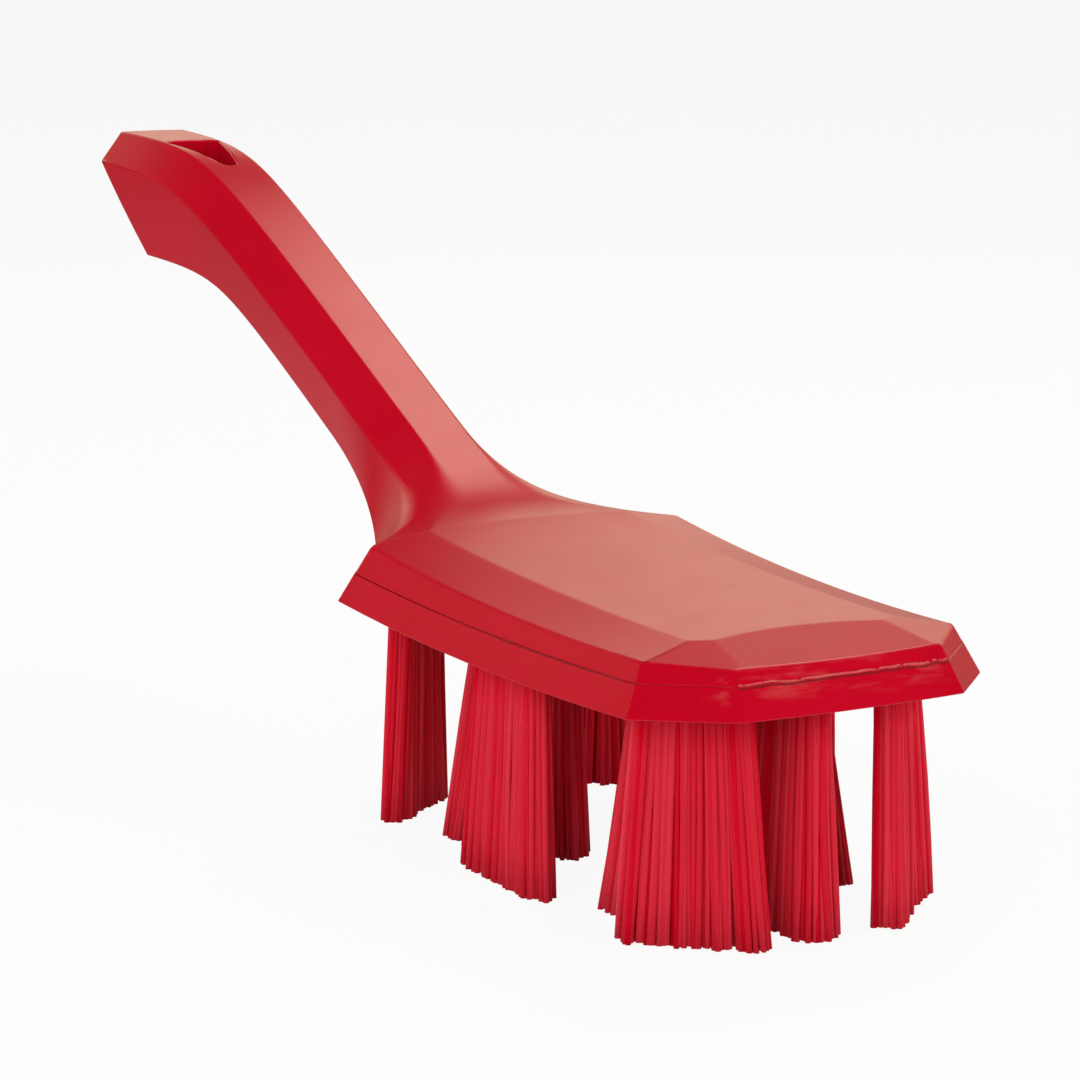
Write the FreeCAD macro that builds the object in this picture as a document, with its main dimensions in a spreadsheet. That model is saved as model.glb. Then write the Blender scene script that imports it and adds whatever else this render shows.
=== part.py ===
import FreeCAD, Part
import math
import os
import Sketcher

# Short-handled scrub brush: a moulded handle with its block top, a bristle plate below it,
# and flared tufts, each fused into an anchor that the plate traps under the block.
# Millimetres. +X is towards the nose, +Z is up, the bristle tips stand on z = 0.

Vector = FreeCAD.Vector
doc = FreeCAD.newDocument("scrub_brush")
sheet = doc.addObject("Spreadsheet::Sheet", "sizes")

# Driving sizes
SIZES = {
    # whole brush
    "overall_length": 260.0,
    "bristle_length": 36.2,
    # block, heights above the lowest line of the underside
    "plate_thickness": 4.4,
    "rim_height": 7.9,
    "nose_rim_height": 7.7,
    "block_height": 9.9,
    "deck_crown": 0.5,
    # rocker of the block, each line an arc with its lowest point this far behind the nose
    "underside_radius": 720.0,
    "underside_low": 41.5,
    "rim_radius": 560.0,
    "rim_low": 35.0,
    "deck_radius": 943.0,
    "deck_low": 21.0,
    # block seen from above
    "nose_bow": 1.0,
    "nose_width": 39.0,
    "front_corner": 13.3,
    "front_width": 62.6,
    "shoulder": 97.7,
    "shoulder_lean": 2.7,
    "shoulder_width": 69.4,
    "rim_front_width": 54.6,
    "rim_shoulder_width": 59.2,
    "deck_front_width": 36.3,
    "deck_shoulder_width": 38.2,
    "front_bevel": 12.6,
    "wall_draft": 29.0,
    # handle seen from the side
    "grip_angle": 26.7,
    "grip_foot": 101.8,
    "grip_top_height": 107.2,
    "ridge_drop": 7.1,
    "grip_depth": 17.6,
    "end_ridge_drop": 5.5,
    "end_depth": 24.4,
    "end_slant": 16.0,
    "end_bow": 0.8,
    "neck_ease": 3.4,
    "knee_ease": 9.5,
    "base_ease": 2.0,
    "base_knee_ease": 8.5,
    # handle seen from above
    "waist_top_width": 9.9,
    "waist_ridge_width": 18.4,
    "waist_base_width": 16.0,
    "end_top_width": 14.2,
    "end_ridge_width": 26.0,
    "end_base_width": 16.6,
    "neck_flare_radius": 45.0,
    "skirt_flare_radius": 76.0,
    # hang hole, a triangle with rounded corners
    "hole_from_end": 20.0,
    "hole_width": 11.6,
    "hole_length": 27.0,
    "hole_corner_radius": 1.7,
    # seat of the tufts
    "seam_gap": 0.15,
    "rear_margin": 14.5,
    "ledge": 1.6,
    "anchor_height": 2.2,
    "anchor_flange": 1.2,
    "anchor_chamfer": 0.5,
    "anchor_clearance": 0.2,
    "tuft_clearance": 0.15,
    "flare_ends": 3.3,
    "flare_sides": 0.8,
    "round_flare": 1.9,
    "inner_lean": 4.0,
    "pleat_width": 1.9,
    "pleat_depth": 1.0,
    # tufts: place behind the nose, distance in from the side edge, run between the ends, width, turn
    "front_centre_tuft_place": 13.0,
    "front_centre_tuft_run": 0.8,
    "front_centre_tuft_width": 5.4,
    "front_tuft_place": 15.7,
    "front_tuft_edge": 13.5,
    "front_tuft_run": 12.7,
    "front_tuft_width": 4.8,
    "front_tuft_turn": -47.0,
    "side_tuft_place": 57.0,
    "side_tuft_edge": 7.0,
    "side_tuft_run": 13.0,
    "side_tuft_width": 4.8,
    "side_tuft_turn": 0.0,
    "rear_tuft_place": 103.5,
    "rear_tuft_edge": 16.5,
    "rear_tuft_run": 9.2,
    "rear_tuft_width": 4.8,
    "rear_tuft_turn": 53.0,
    "inner_front_tuft_place": 35.0,
    "inner_front_tuft_edge": 18.8,
    "inner_front_tuft_run": 1.8,
    "inner_front_tuft_width": 5.4,
    "inner_front_tuft_turn": 0.0,
    "inner_rear_tuft_place": 82.0,
    "inner_rear_tuft_edge": 19.5,
    "inner_rear_tuft_run": 2.8,
    "inner_rear_tuft_width": 5.4,
    "inner_rear_tuft_turn": 0.0,
    "middle_tuft_place": 68.0,
    "middle_tuft_edge": 22.9,
    "middle_tuft_run": 2.1,
    "middle_tuft_width": 5.4,
    "middle_tuft_turn": 0.0,
}
for row, (alias, value) in enumerate(SIZES.items(), start=1):
    sheet.set("A%d" % row, alias)
    sheet.set("B%d" % row, str(value))
    sheet.setAlias("B%d" % row, alias)
doc.recompute()


def size(alias):
    return float(sheet.get(alias))


# Places along the brush, worked out from the sizes
NOSE = size("overall_length") / 2
END = -size("overall_length") / 2
SHOULDER = NOSE - size("shoulder")
FRONT_CORNER = NOSE - size("front_corner")
UNDERSIDE_LOW = size("bristle_length")


# Side view: every edge line of the moulding is a height over x
def rocker(x, low_alias, radius_alias, height):
    from_low = x - (NOSE - size(low_alias))
    return UNDERSIDE_LOW + height + from_low ** 2 / (2 * size(radius_alias))


def eased_over(first, second, ease):
    return (first + second + math.hypot(first - second, ease)) / 2


def eased_under(first, second, ease):
    return (first + second - math.hypot(first - second, ease)) / 2


def grip_rise(x):
    foot = NOSE - size("grip_foot")
    climb = math.tan(math.radians(size("grip_angle"))) * (foot - x)
    return UNDERSIDE_LOW + size("block_height") + climb


def underside(x):
    return rocker(x, "underside_low", "underside_radius", 0.0)


def top_height(x):
    deck = rocker(x, "deck_low", "deck_radius", size("block_height"))
    climbing = eased_over(deck, grip_rise(x), size("neck_ease"))
    return eased_under(climbing, size("grip_top_height"), size("knee_ease"))


def ridge_height(x):
    rim = rocker(x, "rim_low", "rim_radius", size("rim_height"))
    climbing = eased_over(rim, grip_rise(x) - size("ridge_drop"), size("neck_ease"))
    level = size("grip_top_height") - size("end_ridge_drop")
    return eased_under(climbing, level, size("knee_ease"))


def base_height(x):
    climbing = eased_over(underside(x), grip_rise(x) - size("grip_depth"), size("base_ease"))
    level = size("grip_top_height") - size("end_depth")
    return eased_under(climbing, level, size("base_knee_ease"))


# Plan view: half-widths of the three edge lines, straight along the block and flared at the neck
def block_half(x, front_alias, shoulder_alias, shoulder_x):
    front = size(front_alias) / 2
    rear = size(shoulder_alias) / 2
    return front + (rear - front) * (FRONT_CORNER - x) / (FRONT_CORNER - shoulder_x)


def grip_half(x, edge, shoulder_x, end_x):
    waist = size("waist_%s_width" % edge["grip"]) / 2
    rise = size(edge["shoulder_width"]) / 2 - waist
    radius = size(edge["flare"])
    run = math.sqrt(radius ** 2 - (radius - rise) ** 2)
    into_flare = max(0.0, x - (shoulder_x - run))
    flare = radius - math.sqrt(radius ** 2 - into_flare ** 2)
    towards_end = (shoulder_x - x) / (shoulder_x - end_x)
    widening = size("end_%s_width" % edge["grip"]) / 2 - waist
    return waist + flare + widening * towards_end ** 3


EDGES = {
    "top": {"grip": "top", "height": top_height, "flare": "neck_flare_radius",
            "front_width": "deck_front_width", "shoulder_width": "deck_shoulder_width"},
    "ridge": {"grip": "ridge", "height": ridge_height, "flare": "neck_flare_radius",
              "front_width": "rim_front_width", "shoulder_width": "rim_shoulder_width"},
    "base": {"grip": "base", "height": base_height, "flare": "skirt_flare_radius",
             "front_width": "front_width", "shoulder_width": "shoulder_width"},
}


# Each edge line starts and stops on a leaning line, at the shoulder and a little past the end
LEAN_STEPS = 40
PAST_END = 4.0


def on_leaning_line(height, top_x, base_x):
    share = 0.0
    for step in range(LEAN_STEPS):
        x = top_x + share * (base_x - top_x)
        share = (top_height(top_x) - height(x)) / (top_height(top_x) - base_height(base_x))
    return top_x + share * (base_x - top_x)


for edge in EDGES.values():
    edge["shoulder_x"] = on_leaning_line(edge["height"], SHOULDER, SHOULDER - size("shoulder_lean"))
    loft_end = END - PAST_END
    edge["end_x"] = on_leaning_line(edge["height"], loft_end, loft_end + size("end_slant"))


# One cross-section: flat base, two facets on each side and a crowned top
def section(corners):
    top, ridge, base = corners
    crown = size("deck_crown") * (top.y * 2 / size("deck_shoulder_width")) ** 2
    lean = (top.x - base.x) / (top.z - base.z)
    crest = Vector(top.x + lean * crown, 0, top.z + crown)
    right = [Vector(point.x, -point.y, point.z) for point in (base, ridge, top)]
    edges = [
        Part.makeLine(right[0], base),
        Part.makeLine(base, ridge),
        Part.makeLine(ridge, top),
        Part.Arc(top, crest, right[2]).toShape(),
        Part.makeLine(right[2], right[1]),
        Part.makeLine(right[1], right[0]),
    ]
    return Part.Wire(edges)


def grip_section(share):
    corners = []
    for edge in EDGES.values():
        x = edge["shoulder_x"] + share * (edge["end_x"] - edge["shoulder_x"])
        half = grip_half(x, edge, edge["shoulder_x"], edge["end_x"])
        corners.append(Vector(x, half, edge["height"](x)))
    return section(corners)


def block_section(share):
    past_nose = NOSE + size("nose_bow")
    corners = []
    for edge in EDGES.values():
        x = edge["shoulder_x"] + share * (past_nose - edge["shoulder_x"])
        half = block_half(x, edge["front_width"], edge["shoulder_width"], edge["shoulder_x"])
        corners.append(Vector(x, half, edge["height"](x)))
    return section(corners)


GRIP_STATIONS = 18
BLOCK_STATIONS = 6
CROWDING = 1.3


# The end of the handle: all beyond a bowed face that leans from the top corner to the base corner
def beyond_end():
    top = Vector(END, 0, top_height(END))
    base = Vector(END + size("end_slant"), 0, base_height(END + size("end_slant")))
    half_chord = (top - base) * 0.5
    outward = Vector(-half_chord.z, 0, half_chord.x).normalize()
    width = size("end_ridge_width") * 2

    def on_bow(share, out):
        bow = size("end_bow") * (1 - share ** 2)
        middle = (top + base) * 0.5
        return middle + half_chord * share + outward * (bow + out) - Vector(0, width / 2, 0)

    reach = 3.0  # half chords, so that the face runs well past both corners
    arc = Part.Arc(on_bow(-reach, 0), on_bow(0, 0), on_bow(reach, 0)).toShape()
    out = size("end_depth")
    corners = [on_bow(reach, 0), on_bow(reach, out), on_bow(-reach, out), on_bow(-reach, 0)]
    edges = [arc] + [Part.makeLine(start, stop) for start, stop in zip(corners, corners[1:])]
    return Part.Face(Part.Wire(edges)).extrude(Vector(0, width, 0))


def grip_form():
    shares = [(step / (GRIP_STATIONS - 1)) ** CROWDING for step in range(GRIP_STATIONS)]
    return Part.makeLoft([grip_section(share) for share in shares], True, False).cut(beyond_end())


# The nose walls: a bowed front face between two chamfers, all drafted alike
def nose_corner(z):
    face = NOSE - size("nose_bow")
    half = size("nose_width") / 2
    along = Vector(face - FRONT_CORNER, half - size("front_width") / 2, 0).normalize()
    outward = Vector(-along.y, along.x, 0)
    inset = math.tan(math.radians(size("wall_draft"))) * (z - underside(face))
    sideways = inset * (1 - outward.x) / outward.y
    return Vector(face - inset, half - sideways, z), along


def nose_outline(z):
    corner, along = nose_corner(z)
    reach = size("front_width")
    wide = corner - along * reach
    rear_x = SHOULDER - reach
    left = [Vector(rear_x, wide.y, z), wide, corner]
    right = [Vector(point.x, -point.y, z) for point in reversed(left)]
    crest = Vector(corner.x + size("nose_bow"), 0, z)
    edges = [
        Part.makeLine(left[0], left[1]),
        Part.makeLine(left[1], left[2]),
        Part.Arc(left[2], crest, right[0]).toShape(),
        Part.makeLine(right[0], right[1]),
        Part.makeLine(right[1], right[2]),
        Part.makeLine(right[2], left[0]),
    ]
    return Part.Wire(edges)


# A thick slab that lies on a plane through three points and takes off all above it
def slab_over(first, second, third):
    normal = (second - first).cross(third - first)
    if normal.z < 0:
        normal = normal * -1
    span = size("shoulder_width")
    slab = Part.makeBox(span, span, span, Vector(-span / 2, -span / 2, 0))
    slab.Placement = FreeCAD.Placement(first, FreeCAD.Rotation(Vector(0, 0, 1), normal))
    return slab


def block_form():
    shares = [step / (BLOCK_STATIONS - 1) for step in range(BLOCK_STATIONS)]
    block = Part.makeLoft([block_section(share) for share in shares], True, False)
    below = UNDERSIDE_LOW - size("block_height")
    above = UNDERSIDE_LOW + size("block_height") * 3
    nose_walls = Part.makeLoft([nose_outline(below), nose_outline(above)], True, True)
    block = block.common(nose_walls)

    face_top, along = nose_corner(UNDERSIDE_LOW + size("nose_rim_height"))
    deck_x = face_top.x - size("front_bevel")
    top = EDGES["top"]
    deck_half = block_half(deck_x, top["front_width"], top["shoulder_width"], top["shoulder_x"])
    deck_corner = Vector(deck_x, deck_half, top_height(deck_x))
    deck_middle = Vector(deck_x, 0, top_height(deck_x) + size("deck_crown"))
    face_crest = Vector(face_top.x + size("nose_bow"), 0, face_top.z)
    block = block.cut(slab_over(deck_middle, face_crest, deck_middle + Vector(0, 1, 0)))

    def past_rim(back):
        point = face_top - along * back
        return point.y - block_half(point.x, *rim_line)

    ridge = EDGES["ridge"]
    rim_line = (ridge["front_width"], ridge["shoulder_width"], ridge["shoulder_x"])
    rim_corner = face_top - along * (past_rim(0) / (past_rim(0) - past_rim(1)))
    rim_corner.z = ridge_height(rim_corner.x)
    for side in (1, -1):
        points = [Vector(point.x, side * point.y, point.z)
                  for point in (deck_corner, rim_corner, face_top)]
        block = block.cut(slab_over(*points))
    return block


# The seam: everything below it is the bristle plate
def below_seam(lift):
    front = NOSE + size("nose_bow") * 4
    rear = NOSE - size("rear_tuft_place") - size("rear_margin") - lift
    floor = UNDERSIDE_LOW - size("block_height")
    thickness = size("plate_thickness") + lift
    points = [Vector(x, 0, underside(x) + thickness) for x in (front, (front + rear) / 2, rear)]
    corners = [points[2], Vector(rear, 0, floor), Vector(front, 0, floor), points[0]]
    edges = [Part.Arc(*points).toShape()]
    edges += [Part.makeLine(start, stop) for start, stop in zip(corners, corners[1:])]
    width = size("shoulder_width") * 2
    face = Part.Face(Part.Wire(edges))
    face.translate(Vector(0, -width / 2, 0))
    return face.extrude(Vector(0, width, 0))


moulding_shape = grip_form().fuse(block_form()).removeSplitter()
upper = doc.addObject("Part::Feature", "upper_moulding")
upper.Shape = moulding_shape.cut(below_seam(size("seam_gap")))
lower = doc.addObject("Part::Feature", "lower_moulding")
lower.Shape = moulding_shape.common(below_seam(0.0))


# Attach a sketch to the level plane of its own body
def level_sketch(body, name):
    sketch = body.newObject("Sketcher::SketchObject", name)
    planes = [plane for plane in body.Origin.OriginFeatures if plane.Role == "XY_Plane"]
    sketch.AttachmentSupport = (planes[0], [""])
    sketch.MapMode = "FlatFace"
    return sketch


# Hang hole: a triangle with its base towards the end of the handle, rounded at its three corners
hole = doc.addObject("PartDesign::Body", "hang_hole")
hole_outline = level_sketch(hole, "hole_outline")
half_base = size("hole_width") / 2
hole_corners = [Vector(0, half_base, 0), Vector(0, -half_base, 0), Vector(size("hole_length"), 0, 0)]
for start, stop in zip(hole_corners, hole_corners[1:] + hole_corners[:1]):
    hole_outline.addGeometry(Part.LineSegment(start, stop), False)
for line in range(3):
    hole_outline.addConstraint(Sketcher.Constraint("Coincident", line, 2, (line + 1) % 3, 1))
hole_outline.addConstraint(Sketcher.Constraint("Symmetric", 0, 1, 0, 2, -1))
hole_outline.addConstraint(Sketcher.Constraint("PointOnObject", 0, 1, -2))
hole_outline.addConstraint(Sketcher.Constraint("PointOnObject", 1, 2, -1))
base_row = hole_outline.addConstraint(Sketcher.Constraint("Distance", 0, size("hole_width")))
reach_row = hole_outline.addConstraint(Sketcher.Constraint("DistanceX", -1, 1, 1, 2, size("hole_length")))
hole_outline.setExpression("Constraints[%d]" % base_row, "sizes.hole_width")
hole_outline.setExpression("Constraints[%d]" % reach_row, "sizes.hole_length")
hole_pad = hole.newObject("PartDesign::Pad", "hole_depth")
hole_pad.Profile = hole_outline
hole_pad.setExpression("Length", "sizes.grip_top_height + sizes.end_depth")
doc.recompute()
upright = ["Edge%d" % (index + 1) for index, edge in enumerate(hole_pad.Shape.Edges)
           if edge.BoundBox.ZLength > size("grip_top_height")]
hole_rounds = hole.newObject("PartDesign::Fillet", "hole_rounds")
hole_rounds.Base = (hole_pad, upright)
hole_rounds.setExpression("Radius", "sizes.hole_corner_radius")
hole.setExpression("Placement.Base.x", "sizes.hole_from_end - sizes.overall_length / 2")

handle_body = doc.addObject("Part::Cut", "handle_body")
handle_body.Base = upper
handle_body.Tool = hole


# Tufts come in mirrored pairs, apart from the one in the middle of the nose
LEFT, MIDDLE, RIGHT = 1, 0, -1
LONG_GROUPS = ("front", "side", "rear")
ROUND_GROUPS = ("inner_front", "inner_rear", "middle")
LEANING_GROUPS = ("inner_front", "inner_rear")


# A slot outline with eight sides on the level plane: two long sides, two ends and four corners at 45 degrees.
# The sides of its ends are those of a regular octagon as wide as the slot.
OCTAGON = math.tan(math.radians(22.5))


def slot_corners(run, width, z):
    ends = (run + width) / 2
    sides = width / 2
    long_side = (run + width * OCTAGON) / 2
    end_side = width * OCTAGON / 2
    quarter = [Vector(long_side, sides, z), Vector(ends, end_side, z)]
    right = [Vector(point.x, -point.y, z) for point in quarter]
    rear = [Vector(-point.x, point.y, z) for point in (quarter + right[::-1])]
    return right + quarter[::-1] + rear


def slot_sketch(body, name, run, width):
    sketch = level_sketch(body, name)
    corners = slot_corners(size("side_tuft_run"), size("side_tuft_width"), 0.0)
    for start, stop in zip(corners, corners[1:] + corners[:1]):
        sketch.addGeometry(Part.LineSegment(start, stop), False)
    for line in range(8):
        sketch.addConstraint(Sketcher.Constraint("Coincident", line, 2, (line + 1) % 8, 1))
    _, front_end, _, long_left, _, rear_end, _, long_right = range(8)
    sketch.addConstraint(Sketcher.Constraint("Symmetric", long_right, 1, long_right, 2, -2))
    sketch.addConstraint(Sketcher.Constraint("Symmetric", long_left, 1, long_left, 2, -2))
    sketch.addConstraint(Sketcher.Constraint("Symmetric", long_right, 2, long_left, 1, -1))
    sketch.addConstraint(Sketcher.Constraint("Symmetric", front_end, 1, front_end, 2, -1))
    sketch.addConstraint(Sketcher.Constraint("Symmetric", rear_end, 1, rear_end, 2, -1))
    sketch.addConstraint(Sketcher.Constraint("Symmetric", front_end, 1, rear_end, 2, -2))
    spans = [
        ("DistanceX", (long_right, 1, long_right, 2), "%s + (%s) * tan(22.5 deg)" % (run, width)),
        ("DistanceY", (front_end, 1, front_end, 2), "(%s) * tan(22.5 deg)" % width),
        ("DistanceY", (long_right, 2, long_left, 1), width),
        ("DistanceX", (rear_end, 2, front_end, 1), "%s + %s" % (run, width)),
    ]
    for kind, ends, span in spans:
        row = sketch.addConstraint(Sketcher.Constraint(kind, *ends, size("side_tuft_width")))
        sketch.setExpression("Constraints[%d]" % row, span)
    return sketch


# Put a piece at a tuft's place, in from the side edge of the block and turned as the tuft is
def at_tuft(piece, group, side):
    piece.setExpression("Placement.Base.x", "sizes.overall_length / 2 - sizes.%s_tuft_place" % group)
    if side == MIDDLE:
        return piece
    widening = "(sizes.shoulder_width - sizes.front_width)"
    behind = "(sizes.%s_tuft_place - sizes.front_corner)" % group
    taper_length = "(sizes.shoulder + sizes.shoulder_lean - sizes.front_corner)"
    half = "(sizes.front_width + %s * %s / %s) / 2" % (widening, behind, taper_length)
    piece.Placement.Rotation = FreeCAD.Rotation(Vector(0, 0, 1), side * size(group + "_tuft_turn"))
    piece.setExpression("Placement.Base.y", "%d * (%s - sizes.%s_tuft_edge)" % (side, half, group))
    piece.setExpression("Placement.Rotation.Yaw", "%d * sizes.%s_tuft_turn" % (side, group))
    return piece


def root_level(group):
    from_low = "(sizes.%s_tuft_place - sizes.underside_low)" % group
    return "sizes.bristle_length + %s ^ 2 / (2 * sizes.underside_radius)" % from_low


# Flat face and upright prism on corners that run round an outline
def flat_face(corners):
    return Part.Face(Part.makePolygon(corners + corners[:1]))


def slot_prism(run, width, low, high):
    return flat_face(slot_corners(run, width, low)).extrude(Vector(0, 0, high - low))


# A slot outline in pleats: a ridge at every corner and at even steps between corners, and a valley between ridges
def pleated_outline(corners, pleats, depth):
    outline = []
    for corner, following, count in zip(corners, corners[1:] + corners[:1], pleats):
        along = following - corner
        inward = Vector(-along.y, along.x, 0)
        inward.normalize()
        for step in range(2 * count):
            valley = inward * (depth if step % 2 else 0.0)
            outline.append(corner + along * (step / (2 * count)) + valley)
    return outline


# A tuft: a bundle that leaves its root whole and flares into pleats of bristle towards its cut tips,
# with a shank up through the plate; the inner tufts behind the corners lean outwards
def make_tuft(name, group, side):
    run = size(group + "_tuft_run")
    width = size(group + "_tuft_width")
    level = underside(NOSE - size(group + "_tuft_place"))
    ends = size("flare_ends" if group in LONG_GROUPS else "round_flare")
    sides = size("flare_sides" if group in LONG_GROUPS else "round_flare")
    lean = Vector(0, side * size("inner_lean") if group in LEANING_GROUPS else 0.0, 0)
    root_corners = slot_corners(run, width, level)
    tip_corners = [corner + lean for corner in slot_corners(run + 2 * (ends - sides), width + 2 * sides, 0.0)]
    spans = zip(root_corners, root_corners[1:] + root_corners[:1])
    pleats = [max(1, round(start.distanceToPoint(stop) / size("pleat_width"))) for start, stop in spans]
    root = pleated_outline(root_corners, pleats, 0.0)
    tips = pleated_outline(tip_corners, pleats, size("pleat_depth"))
    faces = [flat_face(root), flat_face(tips)]
    for root_start, root_stop, tip_start, tip_stop in zip(root, root[1:] + root[:1], tips, tips[1:] + tips[:1]):
        faces.append(flat_face([root_start, root_stop, tip_start]))
        faces.append(flat_face([root_stop, tip_stop, tip_start]))
    skin = Part.makeShell(faces)
    skin.sewShape()
    shank = slot_prism(run, width, level, level + size("ledge"))
    tuft = doc.addObject("Part::Feature", "tuft_" + name)
    tuft.Shape = Part.makeSolid(skin).fuse(shank).removeSplitter()
    return at_tuft(tuft, group, side)


# An anchor: the moulded head that a tuft's root is fused into, wider than the tuft all round
def make_anchor(name, group, side):
    body = at_tuft(doc.addObject("PartDesign::Body", "anchor_" + name), group, side)
    outline = slot_sketch(body, "outline_" + name, "sizes.%s_tuft_run" % group,
                          "sizes.%s_tuft_width + 2 * sizes.anchor_flange" % group)
    outline.setExpression("AttachmentOffset.Base.z", root_level(group) + " + sizes.ledge")
    head = body.newObject("PartDesign::Pad", "head_" + name)
    head.Profile = outline
    head.setExpression("Length", "sizes.anchor_height")
    doc.recompute()
    crown = max(edge.BoundBox.ZMax for edge in head.Shape.Edges)
    upper_edges = ["Edge%d" % (index + 1) for index, edge in enumerate(head.Shape.Edges)
                   if edge.BoundBox.ZMin > crown - size("anchor_height") / 2]
    bevel = body.newObject("PartDesign::Chamfer", "bevel_" + name)
    bevel.Base = (head, upper_edges)
    bevel.setExpression("Size", "sizes.anchor_chamfer")
    return body


# The opening that a tuft and its anchor leave in the plate
def tuft_opening(group, side):
    x = NOSE - size(group + "_tuft_place")
    run = size(group + "_tuft_run")
    width = size(group + "_tuft_width")
    low = underside(x)
    shelf = low + size("ledge")
    high = low + size("plate_thickness") * 2
    shank_hole = slot_prism(run, width + 2 * size("tuft_clearance"), low - size("plate_thickness"), high)
    head_width = width + 2 * (size("anchor_flange") + size("anchor_clearance"))
    opening = shank_hole.fuse(slot_prism(run, head_width, shelf, high))
    place = Vector(x, 0, 0)
    turn = FreeCAD.Rotation()
    if side != MIDDLE:
        base = EDGES["base"]
        half = block_half(x, base["front_width"], base["shoulder_width"], base["shoulder_x"])
        place.y = side * (half - size(group + "_tuft_edge"))
        turn = FreeCAD.Rotation(Vector(0, 0, 1), side * size(group + "_tuft_turn"))
    opening.Placement = FreeCAD.Placement(place, turn)
    return opening


TUFTS = [("front_centre", "front_centre", MIDDLE)]
for group in LONG_GROUPS + ROUND_GROUPS:
    TUFTS.append((group + "_left", group, LEFT))
    TUFTS.append((group + "_right", group, RIGHT))

openings = doc.addObject("Part::Feature", "tuft_openings")
openings.Shape = Part.makeCompound([tuft_opening(group, side) for name, group, side in TUFTS])
bristle_plate = doc.addObject("Part::Cut", "bristle_plate")
bristle_plate.Base = lower
bristle_plate.Tool = openings

nodes = [handle_body, bristle_plate]
nodes += [make_tuft(*tuft) for tuft in TUFTS]
nodes += [make_anchor(*tuft) for tuft in TUFTS]
doc.recompute()

# Every object sound and every piece one whole solid before anything is written
for item in doc.Objects:
    if "Invalid" in item.State or "Error" in item.State:
        raise RuntimeError("%s did not rebuild: %s" % (item.Name, item.State))
for node in nodes:
    if node.Shape.isNull() or not node.Shape.isValid() or len(node.Shape.Solids) != 1:
        raise RuntimeError("%s is not one sound solid" % node.Label)

os.makedirs("parts", exist_ok=True)
for node in nodes:
    node.Shape.exportStep("parts/%s.step" % node.Label)
    box = node.Shape.optimalBoundingBox(False)
    print("%-28s %9.1f mm3  x %.1f..%.1f  y %.1f..%.1f  z %.1f..%.1f" % (
        node.Label, node.Shape.Volume, box.XMin, box.XMax, box.YMin, box.YMax, box.ZMin, box.ZMax))
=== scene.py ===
# %% [markdown]
# # A red scrub brush
# The brush is a faceted plastic handle that sweeps down into a low block, a plate welded under the block,
# and thirteen separate tufts of stiff filament. The solid model is loaded first and gives every size and
# place. The nose points along +X, left is +Y, and the bristle tips stand on z = 0.

# %% Load the frame
import math
import random

import bmesh
import bpy
from mathutils import Matrix, Vector, noise


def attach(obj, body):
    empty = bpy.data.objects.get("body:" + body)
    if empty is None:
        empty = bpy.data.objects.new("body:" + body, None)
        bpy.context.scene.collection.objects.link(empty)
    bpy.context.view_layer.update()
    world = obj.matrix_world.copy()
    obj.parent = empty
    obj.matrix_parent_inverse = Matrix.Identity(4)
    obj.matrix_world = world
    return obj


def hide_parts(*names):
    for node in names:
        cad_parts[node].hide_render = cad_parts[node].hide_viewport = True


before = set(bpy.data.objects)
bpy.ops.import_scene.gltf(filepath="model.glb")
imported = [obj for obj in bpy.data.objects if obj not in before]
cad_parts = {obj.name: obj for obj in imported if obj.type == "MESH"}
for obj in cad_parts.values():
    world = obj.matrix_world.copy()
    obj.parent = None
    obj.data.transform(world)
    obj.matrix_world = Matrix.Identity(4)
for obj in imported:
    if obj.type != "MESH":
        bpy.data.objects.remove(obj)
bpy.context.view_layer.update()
MM = 0.001


# %% [markdown]
# ## Camera
# A long lens from the front right, a little above the block, keeps the handle and the nose in true
# proportion. Its place and its two angles come from solving the view on the brush's own symmetry.

# %% Camera
camera_lens = bpy.data.cameras.new("camera")
camera_lens.lens = 110
camera_lens.sensor_width = 36
camera = bpy.data.objects.new("camera", camera_lens)
camera.location = (0.51193, -0.26443, 0.14802)
camera.rotation_euler = (math.radians(79.442), 0, math.radians(60.944))
bpy.context.collection.objects.link(camera)
bpy.context.scene.camera = camera
bpy.context.scene.view_settings.view_transform = "Standard"
print("camera at", tuple(camera.location))


# %% [markdown]
# ## Finish helpers
# Every finish is a small web of shader nodes. These helpers add one kind of node each and hand on its
# output, so that a finish reads as a list of steps: a cloud of noise, a change of range, a sum, a mix of
# two colours.

# %% Finish helpers
CLOUD_LOW, CLOUD_HIGH = 0.3, 0.7


def start_finish(name):
    """A new material with its shader, and a function that adds a node to it."""
    finish = bpy.data.materials.new(name)
    finish.use_nodes = True
    tree = finish.node_tree

    def add(kind, **settings):
        made = tree.nodes.new("ShaderNode" + kind)
        for setting, value in settings.items():
            setattr(made, setting, value)
        return made

    return finish, tree.nodes["Principled BSDF"], add, tree.links.new


def patches(add, link, place, scale, detail=3.0, roughness=0.55):
    """A cloudy noise whose patches are about 1/scale metres across."""
    cloud = add("TexNoise")
    cloud.inputs["Scale"].default_value = scale
    cloud.inputs["Detail"].default_value = detail
    cloud.inputs["Roughness"].default_value = roughness
    link(place, cloud.inputs["Vector"])
    return cloud.outputs["Fac"]


def spread(add, link, value, low, high, to_low, to_high):
    """Carries a value from one range to another and holds it there."""
    ramp = add("MapRange", clamp=True)
    for socket, number in zip(("From Min", "From Max", "To Min", "To Max"), (low, high, to_low, to_high)):
        ramp.inputs[socket].default_value = number
    link(value, ramp.inputs["Value"])
    return ramp.outputs["Result"]


def sums(add, link, operation, first, second):
    """One step of arithmetic; either side is a socket or a plain number."""
    step = add("Math", operation=operation)
    for socket, side in zip(step.inputs, (first, second)):
        if isinstance(side, (int, float)):
            socket.default_value = side
        else:
            link(side, socket)
    return step.outputs["Value"]


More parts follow.
